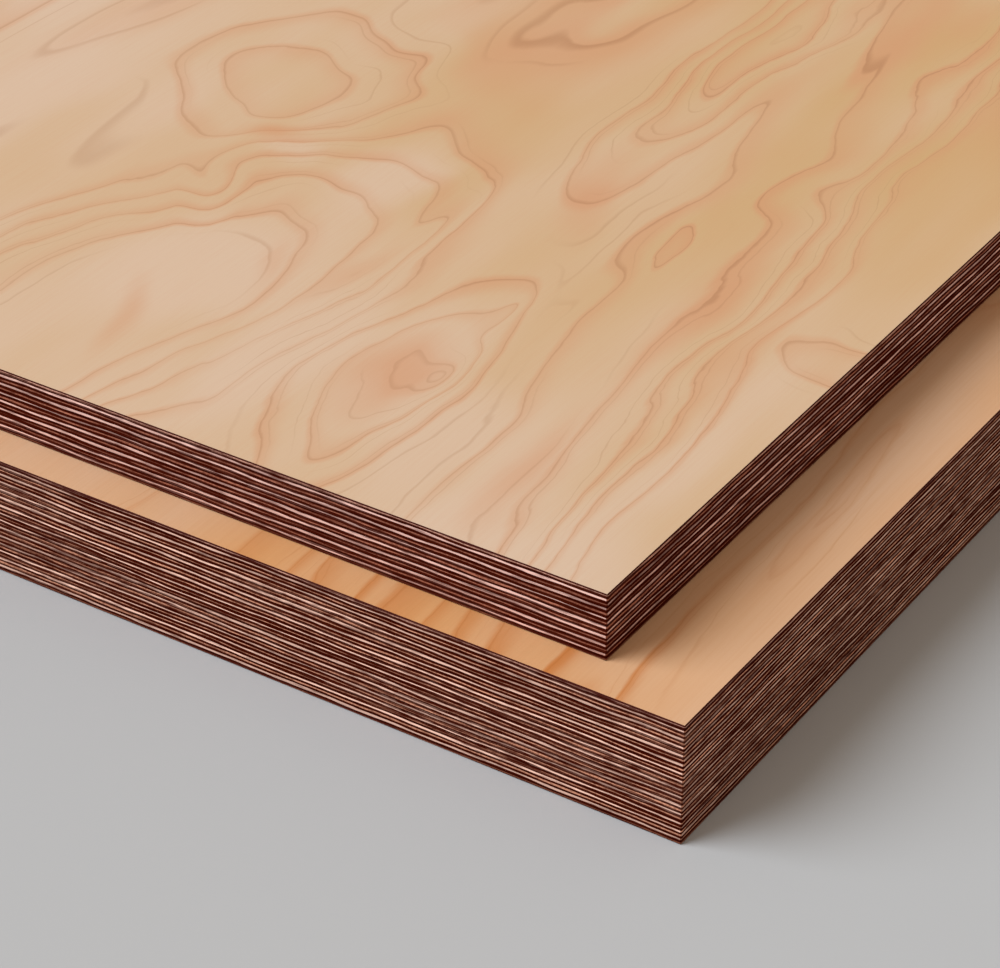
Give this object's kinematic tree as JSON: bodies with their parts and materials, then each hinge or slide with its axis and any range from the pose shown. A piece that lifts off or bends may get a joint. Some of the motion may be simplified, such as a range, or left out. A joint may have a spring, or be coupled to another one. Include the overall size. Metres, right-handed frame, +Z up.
{
  "type": "stack of plywood sheets",
  "caption": "Stack of plywood sheets, a thinner sheet set back a little on a thicker one, with pale rotary-cut faces and fine dark resin lines along the laminated edges.",
  "frame": {"origin": "centre of the lower sheet's underside, where the stack rests on the floor", "axes": "+Z up through the stack, +Y along the sheets and their face grain, +X across the sheets"},
  "size_m": [0.6411, 1.2326, 0.0595],
  "materials": {
    "face_veneer": "sanded pale rotary-cut hardwood veneer, unsealed, with tan growth-ring contours",
    "long_grain_veneer": "sawn veneer edge, grain along the sheet",
    "cross_grain_veneer": "sawn veneer edge, grain across the sheet",
    "resin_line": "cured dark red-brown resin and the wood that it soaked"
  },
  "bodies": {
    "root": {"upper_sheet_face_veneer": "face_veneer", "upper_sheet_core_veneer_02": "cross_grain_veneer", "upper_sheet_core_veneer_03": "long_grain_veneer", "upper_sheet_core_veneer_04": "cross_grain_veneer", "upper_sheet_core_veneer_05": "long_grain_veneer", "upper_sheet_core_veneer_06": "cross_grain_veneer", "upper_sheet_core_veneer_07": "long_grain_veneer", "upper_sheet_core_veneer_08": "cross_grain_veneer", "upper_sheet_core_veneer_09": "long_grain_veneer", "upper_sheet_core_veneer_10": "cross_grain_veneer", "upper_sheet_core_veneer_11": "long_grain_veneer", "upper_sheet_core_veneer_12": "cross_grain_veneer", "upper_sheet_core_veneer_13": "long_grain_veneer", "upper_sheet_core_veneer_14": "cross_grain_veneer", "upper_sheet_back_veneer": "face_veneer", "upper_sheet_glue_lines": "resin_line", "lower_sheet_face_veneer": "face_veneer", "lower_sheet_core_veneer_02": "cross_grain_veneer", "lower_sheet_core_veneer_03": "long_grain_veneer", "lower_sheet_core_veneer_04": "cross_grain_veneer", "lower_sheet_core_veneer_05": "long_grain_veneer", "lower_sheet_core_veneer_06": "cross_grain_veneer", "lower_sheet_core_veneer_07": "long_grain_veneer", "lower_sheet_core_veneer_08": "cross_grain_veneer", "lower_sheet_core_veneer_09": "long_grain_veneer", "lower_sheet_core_veneer_10": "cross_grain_veneer", "lower_sheet_core_veneer_11": "long_grain_veneer", "lower_sheet_core_veneer_12": "cross_grain_veneer", "lower_sheet_core_veneer_13": "long_grain_veneer", "lower_sheet_core_veneer_14": "cross_grain_veneer", "lower_sheet_core_veneer_15": "long_grain_veneer", "lower_sheet_core_veneer_16": "cross_grain_veneer", "lower_sheet_core_veneer_17": "long_grain_veneer", "lower_sheet_core_veneer_18": "cross_grain_veneer", "lower_sheet_core_veneer_19": "long_grain_veneer", "lower_sheet_core_veneer_20": "cross_grain_veneer", "lower_sheet_core_veneer_21": "long_grain_veneer", "lower_sheet_core_veneer_22": "cross_grain_veneer", "lower_sheet_core_veneer_23": "long_grain_veneer", "lower_sheet_core_veneer_24": "cross_grain_veneer", "lower_sheet_core_veneer_25": "long_grain_veneer", "lower_sheet_core_veneer_26": "cross_grain_veneer", "lower_sheet_core_veneer_27": "long_grain_veneer", "lower_sheet_core_veneer_28": "cross_grain_veneer", "lower_sheet_back_veneer": "face_veneer", "lower_sheet_glue_lines": "resin_line"}
  },
  "joints": []
}
